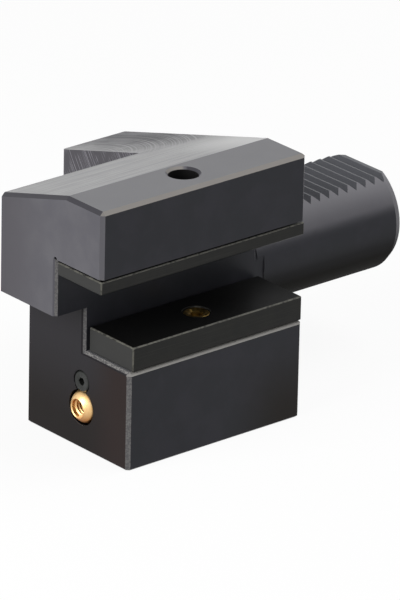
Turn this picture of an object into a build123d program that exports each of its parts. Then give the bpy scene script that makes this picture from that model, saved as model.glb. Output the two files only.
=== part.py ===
from build123d import *
from math import radians, sqrt, tan
import os

# A turret tool holder: a steel block with a toothed round shank, which clamps a square tool shank
# in a slot along its side. All sizes are in millimetres.
# The origin is where the shank's axis meets the flange's contact face.
# +X runs along the shank towards its end, -Y is the slotted side, +Z is up, and the holder stands
# on the lower jaw.

# Shank
shank_diameter = 40.0
shank_length = 63.0
shank_end_chamfer_length = 2.6
shank_end_chamfer_height = 1.3
shank_seam_angle = 37.5
centre_hole_diameter = 8.0
centre_hole_angle = 60.0
centre_hole_pilot_diameter = 3.0
centre_hole_pilot_depth = 10.0

# Rack cut into the top of the shank
tooth_pitch = 4.0
tooth_gap_count = 10
first_tooth_gap = 23.7
rack_height = 16.2
tooth_depth = 1.7
tooth_angle = 90.0
rack_run_out_angle = 45.0
cutter_clearance = 1.0

# Block and flange
block_length = 85.0
flange_thickness = 28.0
axis_to_side = 42.5
axis_to_block_back = 8.0
axis_to_flange_back = 47.5
axis_to_top = 48.0
axis_to_bottom = 44.0
flat_top_width = 18.1
top_slope = 15.6
lower_setback = 12.0
overhang_height = 5.0
edge_chamfer = 1.2
fine_chamfer = 0.5
flange_corner_radius = 1.5
root_relief_width = 1.5
root_relief_depth = 0.5
root_undercut_depth = 0.3

# Tool slot
seat_height = 25.0
slot_height = 35.0
slot_depth = 23.0
slot_relief_radius = 0.8
slot_run_out = 2.8
edge_search = 0.02

# Spring wire and seal cords are drawn with this many flats, which keeps their meshes light
section_flat_count = 8

# Both plates
plate_width = 22.0
plate_side_inset = 0.2
plate_edge_chamfer = 0.4

# Seat plate, which hangs in the slot's roof
seat_plate_thickness = 4.5
seat_plate_end_inset = 0.1
seat_plate_drop = 0.7

# Pressure plate, which lies on the slot's floor
pressure_plate_thickness = 8.4
pressure_plate_front_inset = 1.7
pressure_plate_rear_inset = 0.3

# Small socket screws that hold the two plates
plate_screw_diameter = 5.0
plate_screw_head_diameter = 8.5
plate_screw_head_height = 5.0
plate_screw_head_chamfer = 0.5
plate_screw_socket = 4.0
plate_screw_socket_depth = 2.5
plate_screw_hole_play = 0.3
screw_head_play = 0.5
thread_play = 0.05
screw_tip_chamfer = 0.5

# Seat plate screw and its hole
seat_screw_head_floor = 34.0
seat_screw_tip_inset = 0.5
seat_counterbore_play = 0.75
counterbore_mouth_chamfer = 0.8

# Pull screw, with the spring that draws the pressure plate down
pull_screw_length = 30.0
pull_head_sink = 0.3
spring_shoulder_depth = 9.0
spring_pocket_diameter = 12.0
spring_wire = 1.2
spring_mean_diameter = 8.0
spring_turn_count = 5.0
spring_end_play = 0.02
washer_diameter = 11.0
washer_thickness = 1.0
nut_across_flats = 8.0
nut_height = 4.0
nut_end_projection = 1.0

# Clamp screws
clamp_screw_spacing = 44.0
clamp_screw_diameter = 12.0
clamp_screw_play = 0.1
clamp_screw_body_length = 27.6
clamp_tip_diameter = 8.5
clamp_tip_length = 2.0
clamp_tip_play = 0.35
clamp_recess_depth = 1.6
clamp_socket = 6.0
clamp_socket_depth = 5.0
clamp_screw_end_chamfer = 1.0
clamp_mouth_chamfer = 0.8

# Coolant nozzle ball and its socket
nozzle_from_side = 23.7
nozzle_above_bottom = 14.3
ball_diameter = 12.0
ball_centre_depth = 3.4
ball_play = 0.1
ball_thread_diameter = 6.0
ball_thread_depth = 7.0
ball_thread_chamfer = 0.3
ball_bore_diameter = 4.0
nozzle_seal_cord = 1.8
nozzle_seal_mean_diameter = 8.8
nozzle_seal_play = 0.1
seal_seat_play = 0.02

# Countersunk screw that locks the ball
lock_screw_rise = 9.0
lock_screw_diameter = 4.0
lock_head_diameter = 7.6
lock_head_rim = 0.3
lock_head_angle = 90.0
lock_screw_length = 12.0
lock_screw_play = 0.1
lock_head_play = 0.15
lock_socket = 2.5
lock_socket_depth = 1.8
lock_bore_overrun = 1.0

# Coolant channels, their port in the flange and the plug of the cross drilling
channel_diameter = 6.0
port_offset = 0.0
cross_drilling_x = -40.0
drill_tip_overrun = 1.0
port_seal_cord = 2.0
port_seal_mean_diameter = 10.0
port_seal_play = 0.1
port_seal_sink = 0.05
plug_diameter = 8.0
plug_length = 4.4
plug_sink = 0.5
plug_play = 0.05
plug_socket = 4.0
plug_socket_depth = 2.5

# Places worked out from the sizes above
shank_radius = shank_diameter / 2
side_y = -axis_to_side
wall_y = side_y + slot_depth
ridge_y = side_y + flat_top_width
front_x = -block_length
lower_front_x = front_x + lower_setback
seat_z = seat_height
floor_z = seat_height - slot_height
bottom_z = -axis_to_bottom
plate_y = side_y + plate_side_inset + plate_width / 2
seat_plate_x = front_x / 2
seat_plate_top = seat_z - seat_plate_drop
pressure_plate_start = lower_front_x + pressure_plate_front_inset
pressure_plate_length = -pressure_plate_rear_inset - pressure_plate_start
pressure_plate_x = pressure_plate_start + pressure_plate_length / 2
pressure_plate_top = floor_z + pressure_plate_thickness
clamp_screw_xs = {
    "front": pressure_plate_x - clamp_screw_spacing / 2,
    "rear": pressure_plate_x + clamp_screw_spacing / 2,
}
plate_screw_hole = plate_screw_diameter + 2 * plate_screw_hole_play
pull_head_top = pressure_plate_top - pull_head_sink
pull_head_floor = pull_head_top - plate_screw_head_height
pull_screw_end = pull_head_floor - pull_screw_length
nut_bottom = pull_screw_end + nut_end_projection
nut_top = nut_bottom + nut_height
washer_top = nut_top + washer_thickness
spring_shoulder_z = floor_z - spring_shoulder_depth
ball_x = lower_front_x + ball_centre_depth
nozzle_y = side_y + nozzle_from_side
nozzle_z = bottom_z + nozzle_above_bottom
ball_radius = ball_diameter / 2
lock_z = nozzle_z + lock_screw_rise


def nozzle_seal_x():
    """The seal ring's centre plane, where its cord nearly touches the ball."""
    reach = ball_radius + nozzle_seal_cord / 2 + nozzle_seal_play
    return ball_x + sqrt(reach**2 - (nozzle_seal_mean_diameter / 2) ** 2)


socket_floor_x = nozzle_seal_x() + nozzle_seal_cord / 2 + seal_seat_play


def slope_z(y):
    """Height of the top face at a distance y across the block."""
    return axis_to_top - max(0.0, y - ridge_y) * tan(radians(top_slope))


def block(x_low, x_high, y_low, y_high, z_low, z_high):
    """A plain block between two corners."""
    size = (x_high - x_low, y_high - y_low, z_high - z_low)
    centre = ((x_low + x_high) / 2, (y_low + y_high) / 2, (z_low + z_high) / 2)
    return Pos(*centre) * Box(*size)


def rod_x(x_low, x_high, y, z, diameter):
    """A round bar along X."""
    place = Pos((x_low + x_high) / 2, y, z) * Rot(0, 90, 0)
    return place * Cylinder(diameter / 2, x_high - x_low)


def rod_y(y_low, y_high, x, z, diameter):
    """A round bar along Y."""
    place = Pos(x, (y_low + y_high) / 2, z) * Rot(90, 0, 0)
    return place * Cylinder(diameter / 2, y_high - y_low)


def rod_z(z_low, z_high, x, y, diameter):
    """A round bar along Z."""
    return Pos(x, y, (z_low + z_high) / 2) * Cylinder(diameter / 2, z_high - z_low)


def turned(points, place):
    """A body turned about Z from (radius, height) points, put at a place."""
    outline = Plane.XZ * make_face(Polyline(*points, close=True))
    return place * revolve(outline, Axis.Z)


def edges_at(shape, x=None, y=None, z=None):
    """Edges whose middle lies at the given coordinates."""
    found = ShapeList()
    for edge in shape.edges():
        middle = edge.position_at(0.5)
        wanted = ((middle.X, x), (middle.Y, y), (middle.Z, z))
        if all(want is None or abs(value - want) < edge_search for value, want in wanted):
            found.append(edge)
    return found


def hex_socket(place, across_flats, depth):
    """A hexagonal recess that opens along +Z of its place."""
    outline = RegularPolygon(across_flats / 2, 6, major_radius=False)
    return place * Pos(0, 0, -depth) * extrude(outline, depth)


def profile(back_y):
    """The block's cross-section, with a flat top that slopes down behind the ridge."""
    points = [
        (side_y, bottom_z),
        (back_y, bottom_z),
        (back_y, slope_z(back_y)),
        (ridge_y, axis_to_top),
        (side_y, axis_to_top),
    ]
    return Plane.YZ * make_face(Polyline(*points, close=True))


def blank():
    """Block and flange with the slot and the setback of the lower jaw, edges broken."""
    front = Pos(front_x, 0, 0) * extrude(profile(axis_to_block_back), block_length)
    flange = Pos(-flange_thickness, 0, 0) * extrude(profile(axis_to_flange_back), flange_thickness)
    shape = front + flange
    shape -= block(front_x, lower_front_x, side_y, axis_to_block_back, bottom_z, overhang_height)
    shape -= block(front_x, 0, side_y, wall_y, floor_z, seat_z)
    corner = edges_at(shape, x=-flange_thickness, y=axis_to_flange_back)
    shape = fillet(corner, flange_corner_radius)
    shape = chamfer(shape.edges().filter_by_position(Axis.X, 0, 0), edge_chamfer)
    bright = edges_at(shape, x=front_x, z=axis_to_top)
    bright += edges_at(shape, x=front_x, y=(ridge_y + axis_to_block_back) / 2)
    bright += edges_at(shape, y=side_y, z=axis_to_top)
    bright += edges_at(shape, x=front_x, y=side_y)
    bright += edges_at(shape, y=wall_y, x=front_x)
    bright += edges_at(shape, y=wall_y, x=lower_front_x)
    bright += edges_at(shape, x=lower_front_x, z=floor_z)
    bright += edges_at(shape, y=side_y, z=floor_z)
    bright += edges_at(shape, x=lower_front_x, y=side_y)
    shape = chamfer(bright, edge_chamfer)
    shape = chamfer(shape.edges().filter_by_position(Axis.Z, bottom_z, bottom_z), fine_chamfer)
    relief = Pos(front_x / 2, wall_y, seat_z) * Rot(0, 90, 0)
    return shape - relief * Cylinder(slot_relief_radius, block_length)


def rack_cutter():
    """The space above the rack: a flat with a row of V gaps, and a sloping run-out."""
    half_gap = tooth_depth * tan(radians(tooth_angle / 2))
    start = first_tooth_gap - tooth_pitch / 2
    above = shank_radius + cutter_clearance
    run_out = (above - rack_height) / tan(radians(rack_run_out_angle))
    points = [(start - run_out, above), (start, rack_height)]
    for gap in range(tooth_gap_count):
        middle = first_tooth_gap + gap * tooth_pitch
        points.append((middle - half_gap, rack_height))
        points.append((middle, rack_height - tooth_depth))
        points.append((middle + half_gap, rack_height))
    beyond = max(shank_length, middle + half_gap) + cutter_clearance
    points.append((beyond, rack_height))
    points.append((beyond, above))
    outline = Plane.XZ * make_face(Polyline(*points, close=True))
    return extrude(outline, shank_diameter, both=True)


def shank():
    """The round shank with its root undercut, end chamfer, centre hole and rack.

    Its seam is turned off the rack, so that the rack's gaps stay clear of it.
    """
    root_radius = shank_radius - root_undercut_depth
    chamfer_start = shank_length - shank_end_chamfer_length
    end_radius = shank_radius - shank_end_chamfer_height
    mouth = centre_hole_diameter / 2
    pilot = centre_hole_pilot_diameter / 2
    cone_depth = (mouth - pilot) / tan(radians(centre_hole_angle / 2))
    points = [
        (0, -edge_chamfer),
        (root_radius, -edge_chamfer),
        (root_radius, 0),
        (shank_radius, 0),
        (shank_radius, chamfer_start),
        (end_radius, shank_length),
        (mouth, shank_length),
        (pilot, shank_length - cone_depth),
        (pilot, shank_length - centre_hole_pilot_depth),
        (0, shank_length - centre_hole_pilot_depth),
    ]
    return turned(points, Rot(shank_seam_angle, 0, 0) * Rot(0, 90, 0)) - rack_cutter()


def root_relief():
    """A shallow recess in the flange's face, which the root of the shank then stands in."""
    recess = Plane.YZ * Circle(shank_radius + root_relief_width)
    return Pos(-root_relief_depth, 0, 0) * extrude(recess, root_relief_depth)


def seat_screw_hole():
    """Counterbored hole from the top face down into the slot."""
    bore = plate_screw_head_diameter + 2 * seat_counterbore_play
    hole = rod_z(seat_screw_head_floor, axis_to_top, seat_plate_x, plate_y, bore)
    hole += rod_z(seat_z, seat_screw_head_floor, seat_plate_x, plate_y, plate_screw_hole)
    mouth = [
        (0, -counterbore_mouth_chamfer),
        (bore / 2, -counterbore_mouth_chamfer),
        (bore / 2 + counterbore_mouth_chamfer, 0),
        (0, 0),
    ]
    return hole + turned(mouth, Pos(seat_plate_x, plate_y, axis_to_top))


def pull_screw_hole():
    """Hole for the pull screw, with the spring's pocket below it."""
    hole = rod_z(spring_shoulder_z, floor_z, pressure_plate_x, plate_y, plate_screw_hole)
    return hole + rod_z(bottom_z, spring_shoulder_z, pressure_plate_x, plate_y, spring_pocket_diameter)


def clamp_screw_hole(x):
    """Screw hole through the lower jaw, with a chamfered mouth underneath."""
    bore = clamp_screw_diameter + 2 * clamp_screw_play
    mouth = [
        (0, 0),
        (bore / 2 + clamp_mouth_chamfer, 0),
        (bore / 2, clamp_mouth_chamfer),
        (0, clamp_mouth_chamfer),
    ]
    return rod_z(bottom_z, floor_z, x, plate_y, bore) + turned(mouth, Pos(x, plate_y, bottom_z))


def nozzle_socket():
    """Socket of the ball, with the countersunk hole of its lock screw."""
    bore = ball_diameter + 2 * ball_play
    hole = rod_x(lower_front_x, socket_floor_x, nozzle_y, nozzle_z, bore)
    screw_bore = lock_screw_diameter + 2 * lock_screw_play
    head = lock_head_diameter / 2 + lock_head_play
    cone_end = lock_head_rim + (head - screw_bore / 2) / tan(radians(lock_head_angle / 2))
    points = [
        (0, 0),
        (head, 0),
        (head, lock_head_rim),
        (screw_bore / 2, cone_end),
        (screw_bore / 2, lock_screw_length + lock_bore_overrun),
        (0, lock_screw_length + lock_bore_overrun),
    ]
    return hole + turned(points, Pos(lower_front_x, nozzle_y, lock_z) * Rot(0, 90, 0))


def coolant_channels():
    """Drillings from the flange's port across to the nozzle, with the seal's seat and the plug's bore."""
    reach = channel_diameter / 2 + drill_tip_overrun
    channels = rod_x(cross_drilling_x - reach, 0, port_offset, nozzle_z, channel_diameter)
    channels += rod_x(socket_floor_x, cross_drilling_x + reach, nozzle_y, nozzle_z, channel_diameter)
    channels += rod_y(nozzle_y - reach, axis_to_block_back, cross_drilling_x, nozzle_z, channel_diameter)
    seat = port_seal_mean_diameter + port_seal_cord + 2 * port_seal_play
    depth = port_seal_cord + port_seal_sink
    channels += rod_x(-depth, 0, port_offset, nozzle_z, seat)
    plug_bore = plug_diameter + 2 * plug_play
    plug_start = axis_to_block_back - plug_sink - plug_length
    return channels + rod_y(plug_start, axis_to_block_back, cross_drilling_x, nozzle_z, plug_bore)


def body():
    """The holder's one-piece steel body. The slot's cutter just touched the shank as it ran out."""
    shape = blank() - root_relief() + shank()
    shape -= block(-edge_chamfer, slot_run_out, side_y, wall_y, floor_z, seat_z)
    shape -= seat_screw_hole()
    shape -= pull_screw_hole()
    for x in clamp_screw_xs.values():
        shape -= clamp_screw_hole(x)
    shape -= nozzle_socket()
    return shape - coolant_channels()


def plate(x_low, x_high, z_low, thickness):
    """A flat plate in the slot, with all its outer edges broken."""
    y_low = side_y + plate_side_inset
    flat = block(x_low, x_high, y_low, y_low + plate_width, z_low, z_low + thickness)
    return chamfer(flat.edges(), plate_edge_chamfer)


def seat_plate():
    """The hardened plate that the tool bears on, tapped for its screw."""
    bottom = seat_plate_top - seat_plate_thickness
    shape = plate(front_x + seat_plate_end_inset, -seat_plate_end_inset, bottom, seat_plate_thickness)
    tapped = plate_screw_diameter + 2 * thread_play
    return shape - rod_z(bottom, seat_plate_top, seat_plate_x, plate_y, tapped)


def pressure_plate():
    """The plate that the clamp screws push on the tool, with a sunk hole for the pull screw."""
    shape = plate(pressure_plate_start, -pressure_plate_rear_inset, floor_z, pressure_plate_thickness)
    shape -= rod_z(floor_z, pull_head_floor, pressure_plate_x, plate_y, plate_screw_hole)
    head_bore = plate_screw_head_diameter + 2 * screw_head_play
    shape -= rod_z(pull_head_floor, pressure_plate_top, pressure_plate_x, plate_y, head_bore)
    recess = clamp_tip_diameter + 2 * clamp_tip_play
    for x in clamp_screw_xs.values():
        shape -= rod_z(floor_z, floor_z + clamp_recess_depth, x, plate_y, recess)
    return shape


def plate_screw(top_z, x, length):
    """A socket head screw that points down, with the top of its head at top_z."""
    head = plate_screw_head_diameter / 2
    thread = plate_screw_diameter / 2
    end = -plate_screw_head_height - length
    points = [
        (0, 0),
        (head - plate_screw_head_chamfer, 0),
        (head, -plate_screw_head_chamfer),
        (head, -plate_screw_head_height),
        (thread, -plate_screw_head_height),
        (thread, end + screw_tip_chamfer),
        (thread - screw_tip_chamfer, end),
        (0, end),
    ]
    place = Pos(x, plate_y, top_z)
    return turned(points, place) - hex_socket(place, plate_screw_socket, plate_screw_socket_depth)


def seat_plate_screw():
    """The screw that carries the seat plate and lets it drop."""
    tip = seat_plate_top - seat_plate_thickness + seat_screw_tip_inset
    length = seat_screw_head_floor - tip
    return plate_screw(seat_screw_head_floor + plate_screw_head_height, seat_plate_x, length)


def pull_screw():
    """The screw in the pressure plate that the spring pulls down."""
    return plate_screw(pull_head_top, pressure_plate_x, pull_screw_length)


def pull_washer():
    """The washer under the return spring."""
    bore = plate_screw_diameter + 2 * plate_screw_hole_play
    ring = rod_z(nut_top, washer_top, pressure_plate_x, plate_y, washer_diameter)
    return ring - rod_z(nut_top, washer_top, pressure_plate_x, plate_y, bore)


def pull_nut():
    """The hexagon nut on the end of the pull screw."""
    outline = RegularPolygon(nut_across_flats / 2, 6, major_radius=False)
    shape = Pos(pressure_plate_x, plate_y, nut_bottom) * extrude(outline, nut_height)
    tapped = plate_screw_diameter + 2 * thread_play
    return shape - rod_z(nut_bottom, nut_top, pressure_plate_x, plate_y, tapped)


def return_spring():
    """The coil spring between the pocket's shoulder and the washer."""
    free = spring_shoulder_z - washer_top - spring_wire - 2 * spring_end_play
    path = Helix(free / spring_turn_count, free, spring_mean_diameter / 2)
    start = Plane(origin=path @ 0, z_dir=path % 0)
    coil = sweep(start * RegularPolygon(spring_wire / 2, section_flat_count), path=path)
    return Pos(pressure_plate_x, plate_y, washer_top + spring_wire / 2 + spring_end_play) * coil


def clamp_screw(x):
    """A headless screw that pushes the pressure plate up with its round tip."""
    thread = clamp_screw_diameter / 2
    tip = clamp_tip_diameter / 2
    top = floor_z + clamp_recess_depth
    shoulder = -clamp_tip_length
    end = shoulder - clamp_screw_body_length
    points = [
        (0, 0),
        (tip, 0),
        (tip, shoulder),
        (thread - clamp_screw_end_chamfer, shoulder),
        (thread, shoulder - clamp_screw_end_chamfer),
        (thread, end + clamp_screw_end_chamfer),
        (thread - clamp_screw_end_chamfer, end),
        (0, end),
    ]
    socket_place = Pos(x, plate_y, top + end) * Rot(180, 0, 0)
    return turned(points, Pos(x, plate_y, top)) - hex_socket(socket_place, clamp_socket, clamp_socket_depth)


def nozzle_ball():
    """The brass ball with a tapped mouth and a coolant bore through it."""
    thread = ball_thread_diameter / 2
    mouth = sqrt(ball_radius**2 - (thread + ball_thread_chamfer) ** 2)
    bore = ball_bore_diameter / 2
    points = [
        (0, -ball_radius),
        (bore, -ball_radius),
        (bore, mouth - ball_thread_depth),
        (thread, mouth - ball_thread_depth),
        (thread, mouth - ball_thread_chamfer),
        (thread + ball_thread_chamfer, mouth),
        (thread + ball_thread_chamfer, ball_radius),
        (0, ball_radius),
    ]
    hole = turned(points, Rot(0, -90, 0))
    return Pos(ball_x, nozzle_y, nozzle_z) * (Sphere(ball_radius) - hole)


def nozzle_lock_screw():
    """The countersunk screw whose head keeps the ball in its socket."""
    head = lock_head_diameter / 2
    thread = lock_screw_diameter / 2
    cone_end = lock_head_rim + (head - thread) / tan(radians(lock_head_angle / 2))
    points = [
        (0, 0),
        (head, 0),
        (head, lock_head_rim),
        (thread, cone_end),
        (thread, lock_screw_length),
        (0, lock_screw_length),
    ]
    place = Pos(lower_front_x, nozzle_y, lock_z)
    socket = hex_socket(place * Rot(0, -90, 0), lock_socket, lock_socket_depth)
    return turned(points, place * Rot(0, 90, 0)) - socket


def seal_ring(x, y, mean_diameter, cord):
    """A rubber ring whose axis runs along X at the nozzle's height."""
    cord_section = Plane.XZ * Pos(mean_diameter / 2, 0) * RegularPolygon(cord / 2, section_flat_count)
    return Pos(x, y, nozzle_z) * Rot(0, 90, 0) * revolve(cord_section, Axis.Z)


def nozzle_seal_ring():
    """The seal behind the ball."""
    return seal_ring(nozzle_seal_x(), nozzle_y, nozzle_seal_mean_diameter, nozzle_seal_cord)


def port_seal_ring():
    """The seal of the coolant port in the flange."""
    x = -(port_seal_cord + port_seal_sink) / 2
    return seal_ring(x, port_offset, port_seal_mean_diameter, port_seal_cord)


def channel_plug():
    """The headless screw that closes the cross drilling."""
    outer = axis_to_block_back - plug_sink
    shape = rod_y(outer - plug_length, outer, cross_drilling_x, nozzle_z, plug_diameter)
    place = Pos(cross_drilling_x, outer, nozzle_z) * Rot(-90, 0, 0)
    return shape - hex_socket(place, plug_socket, plug_socket_depth)


parts = {
    "body": body(),
    "seat_plate": seat_plate(),
    "seat_plate_screw": seat_plate_screw(),
    "pressure_plate": pressure_plate(),
    "pull_screw": pull_screw(),
    "pull_washer": pull_washer(),
    "pull_nut": pull_nut(),
    "return_spring": return_spring(),
    "nozzle_ball": nozzle_ball(),
    "nozzle_lock_screw": nozzle_lock_screw(),
    "nozzle_seal_ring": nozzle_seal_ring(),
    "port_seal_ring": port_seal_ring(),
    "channel_plug": channel_plug(),
}
for end_name, screw_x in clamp_screw_xs.items():
    parts["clamp_screw_" + end_name] = clamp_screw(screw_x)

os.makedirs("parts", exist_ok=True)
for node, shape in parts.items():
    export_step(shape, f"parts/{node}.step")
    print(f"{node:18s} {len(shape.solids())} solid  {shape.volume / 1000:8.2f} cm3")
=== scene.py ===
# %% [markdown]
# # A turret tool holder, dressed around its CAD frame
# The holder is a blackened steel block with a slot along its side. A toothed round shank points back
# into the turret of a lathe, and a square turning tool is clamped in the slot.
# All of it could be modelled here from nothing, but the CAD solids already have the right sizes. So they
# are loaded as a fixed frame, and every piece made here is added to it in metres, in the same axes:
# +X along the shank, -Y towards the slotted side, +Z up.

# %% Load the frame
import math

import bmesh
import bpy
from mathutils import Matrix, Vector


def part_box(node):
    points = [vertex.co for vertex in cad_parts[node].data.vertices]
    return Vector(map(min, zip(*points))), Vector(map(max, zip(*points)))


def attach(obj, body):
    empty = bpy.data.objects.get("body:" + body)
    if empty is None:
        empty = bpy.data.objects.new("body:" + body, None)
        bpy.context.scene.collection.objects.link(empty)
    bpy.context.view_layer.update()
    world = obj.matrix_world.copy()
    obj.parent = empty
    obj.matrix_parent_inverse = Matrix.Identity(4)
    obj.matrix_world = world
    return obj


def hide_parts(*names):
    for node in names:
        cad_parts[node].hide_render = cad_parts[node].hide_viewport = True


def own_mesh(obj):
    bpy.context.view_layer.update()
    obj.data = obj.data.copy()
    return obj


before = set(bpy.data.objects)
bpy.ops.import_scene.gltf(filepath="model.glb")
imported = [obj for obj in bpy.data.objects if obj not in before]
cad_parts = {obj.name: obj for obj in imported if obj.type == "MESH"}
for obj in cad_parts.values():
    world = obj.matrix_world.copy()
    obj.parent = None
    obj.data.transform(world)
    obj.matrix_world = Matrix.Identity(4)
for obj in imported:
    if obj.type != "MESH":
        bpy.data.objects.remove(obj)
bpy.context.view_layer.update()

MM = 0.001

# %% [markdown]
# ## Places that the finishes need
# A finish follows the machining, so it has to know where the block's faces lie. Most places are read
# from the boxes of the CAD nodes, and so they follow the CAD model. The three that no box gives are
# written here once: the lower jaw's front, the underside of the overhang and the face the tool bears on.

# %% Measure the body
def middle(node):
    """The middle of a node's box."""
    low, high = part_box(node)
    return (low + high) / 2


body_low, body_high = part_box("body")
FRONT_X, SIDE_Y, BOTTOM_Z = body_low
TOP_Z = body_high.z
JAW_FRONT_X = -73 * MM
OVERHANG_Z = 5 * MM
SEAT_Z = 25 * MM
print("the block stands", round((TOP_Z - BOTTOM_Z) / MM, 1), "mm tall")

# %% [markdown]
# ## Colours and nodes
# A colour is easiest to pick as it looks on a screen, but shaders work in linear light. One function
# turns the one into the other, so no colour is converted by hand.
# Every tree below, of a material or of a shape, is a list of nodes. One small function adds a node with
# its settings. An input that is given another node's socket is linked, and any other value is set.

# %% Colour and node helpers
def linear(hex_colour):
    """An sRGB hex colour as linear RGBA."""
    channels = [int(hex_colour[i:i + 2], 16) / 255 for i in (1, 3, 5)]
    return (*[c / 12.92 if c <= 0.04045 else ((c + 0.055) / 1.055) ** 2.4 for c in channels], 1.0)


def add(tree, kind, inputs=None, **settings):
    """Adds a node with its settings, then links or sets its inputs."""
    node = tree.nodes.new(kind)
    for name, value in settings.items():
        setattr(node, name, value)
    for key, value in (inputs or {}).items():
        if isinstance(value, bpy.types.NodeSocket):
            tree.links.new(value, node.inputs[key])
        else:
            node.inputs[key].default_value = value
    return node


print("a screen's middle grey is", round(linear("#808080")[0], 3), "in linear light")

# %% [markdown]
# ## The frame of a material
# Each finish starts from an empty tree and ends in one shader. What is the same all over the surface,
# such as a metal's metallic value, is set on the shader itself, and what varies is linked to it.

# %% Material helpers
def new_material(name):
    """An empty node material, and the tree to fill."""
    material = bpy.data.materials.new(name)
    material.use_nodes = True
    material.node_tree.nodes.clear()
    return material, material.node_tree


def finish_material(tree, **inputs):
    """Adds the shader with its inputs, named with _ for spaces, and the output."""
    named = {name.replace("_", " "): value for name, value in inputs.items()}
    shader = add(tree, "ShaderNodeBsdfPrincipled", named)
    add(tree, "ShaderNodeOutputMaterial", {"Surface": shader.outputs["BSDF"]})


print("materials before the first finish:", len(bpy.data.materials))

# %% [markdown]
# ## Masks
# A machined block has a different finish on each of its faces, because each was cut by another tool.
# The faces could be given separate materials, but a worn edge or a dull patch doesn't end at a face.
# So one material has masks: numbers from 0 to 1 that say where a finish lies. They come from the place
# on the object and the way the face points, so they hold from every side and in every light.

# %% Mask helpers
def ramp(tree, value, start, end):
    """0 below start and 1 above end, smooth in between. With end below start it falls instead."""
    node = add(tree, "ShaderNodeMapRange", {0: value, 1: start, 2: end}, interpolation_type="SMOOTHSTEP")
    return node.outputs[0]


def ramp_mm(tree, value, start_mm, end_mm):
    """The same ramp over a length, in millimetres."""
    return ramp(tree, value, start_mm * MM, end_mm * MM)


def times(tree, *factors):
    """The product of several masks: 1 only where all of them are."""
    product = factors[0]
    for factor in factors[1:]:
        product = add(tree, "ShaderNodeMath", {0: product, 1: factor}, operation="MULTIPLY").outputs[0]
    return product


def painted(tree, base, layers):
    """The base colour with further colours laid over it, each where its mask says."""
    colour = linear(base)
    for mask, over in layers:
        mix = add(tree, "ShaderNodeMix", {"Factor": mask, 6: colour, 7: linear(over)}, data_type="RGBA")
        colour = mix.outputs[2]
    return colour


print("masks are blended with a smooth step")

# %% [markdown]
# ## Where a point lies and which way it faces
# The place is read from Object coordinates, because they stay with a piece when it moves. Edges could be
# picked by hand, but a broken edge is a narrow face that lies aslant, between two square ones. The largest
# part of its normal is well under 1, and that number alone finds every one of them.

# %% Place and facing
def place_and_facing(tree):
    """The point, its X, Y and Z, the facing's X, Y and Z, and how squarely the face lies to an axis."""
    coordinates = add(tree, "ShaderNodeTexCoord")
    place = add(tree, "ShaderNodeSeparateXYZ", {0: coordinates.outputs["Object"]})
    facing = add(tree, "ShaderNodeSeparateXYZ", {0: coordinates.outputs["Normal"]})
    size = add(tree, "ShaderNodeVectorMath", {0: coordinates.outputs["Normal"]}, operation="ABSOLUTE")
    parts = add(tree, "ShaderNodeSeparateXYZ", {0: size.outputs[0]})
    larger = add(tree, "ShaderNodeMath", {0: parts.outputs[0], 1: parts.outputs[1]}, operation="MAXIMUM")
    square = add(tree, "ShaderNodeMath", {0: larger.outputs[0], 1: parts.outputs[2]}, operation="MAXIMUM")
    return coordinates.outputs["Object"], place.outputs, facing.outputs, square.outputs[0]


SQUARE_ON = (-0.9, -0.97)
BROKEN_EDGE = (0.88, 0.8)
print("an edge broken at 45 degrees has a largest part of", round(math.sqrt(0.5), 2))

# %% [markdown]
# ## Grain and cutter marks
# Two patterns are enough for metal. The first is noise, stretched where a grinding wheel or a saw ran in
# one direction. The second is a set of uneven arcs round a centre, as a wide face mill leaves them. A
# ready-made ring pattern is too even for that, so one-dimensional noise over the distance is used.

# %% Pattern helpers
def grain(tree, point, sizes_mm, detail):
    """Noise with its grain this long along X, Y and Z, in millimetres."""
    scale = Vector([1 / (size * MM) for size in sizes_mm])
    stretched = add(tree, "ShaderNodeMapping", {"Vector": point, "Scale": scale})
    noise = add(tree, "ShaderNodeTexNoise", {"Vector": stretched.outputs[0], "Scale": 1.0, "Detail": detail})
    return noise.outputs["Fac"]


def from_axis(tree, point, centre_mm, axis=2):
    """The distance from a line along the axis through a centre."""
    flat = [1.0, 1.0, 1.0]
    flat[axis] = 0.0
    centre = [value * MM for value in centre_mm]
    centre.insert(axis, 0.0)
    level = add(tree, "ShaderNodeVectorMath", {0: point, 1: flat}, operation="MULTIPLY")
    reach = add(tree, "ShaderNodeVectorMath", {0: level.outputs[0], 1: centre}, operation="DISTANCE")
    return reach.outputs["Value"]


def cutter_arcs(tree, point, centre_mm, pitch_mm, axis=2):
    """Uneven arcs round a centre, as a face mill leaves them on a face that lies across the axis."""
    reach = from_axis(tree, point, centre_mm, axis)
    turns = add(tree, "ShaderNodeMath", {0: reach, 1: pitch_mm * MM}, operation="DIVIDE")
    noise = add(tree, "ShaderNodeTexNoise", {"W": turns.outputs[0], "Scale": 1.0}, noise_dimensions="1D")
    return noise.outputs["Fac"]


print("a grain of 9 mm is noise at a scale of", round(1 / (9 * MM), 1))

# %% [markdown]
# ## Blackened steel: the skin
# The body is steel that was milled and ground, then blackened in a bath of hot salts. The oxide is a thin
# dark skin over the tool marks, so it takes its tone from what lies under it. It is satin grey with a
# faint violet tint, cloudy over about 9 mm, where the bath drained unevenly.
# One flat colour would look like plastic. Here thin layers are stacked on a base tone. Each layer is a
# mask and the colour that shows where the mask is 1, and a later layer covers an earlier one.

# %% Start the steel
steel, skin = new_material("hot_blackened_steel")
point, place, facing, square = place_and_facing(skin)
mottle = grain(skin, point, (9, 9, 9), 3.0)
front = ramp(skin, facing[0], *SQUARE_ON)
# Painted shade: the front faces are painted darker over their far half, away from the slotted side.
front_shade_far_half = ramp_mm(skin, place[1], -20, 10)
layers = [
    (ramp(skin, mottle, 0.3, 0.75), "#656469"),
    (times(skin, front, front_shade_far_half), "#545257"),
]
print("the front has", len(layers), "layers")

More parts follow.
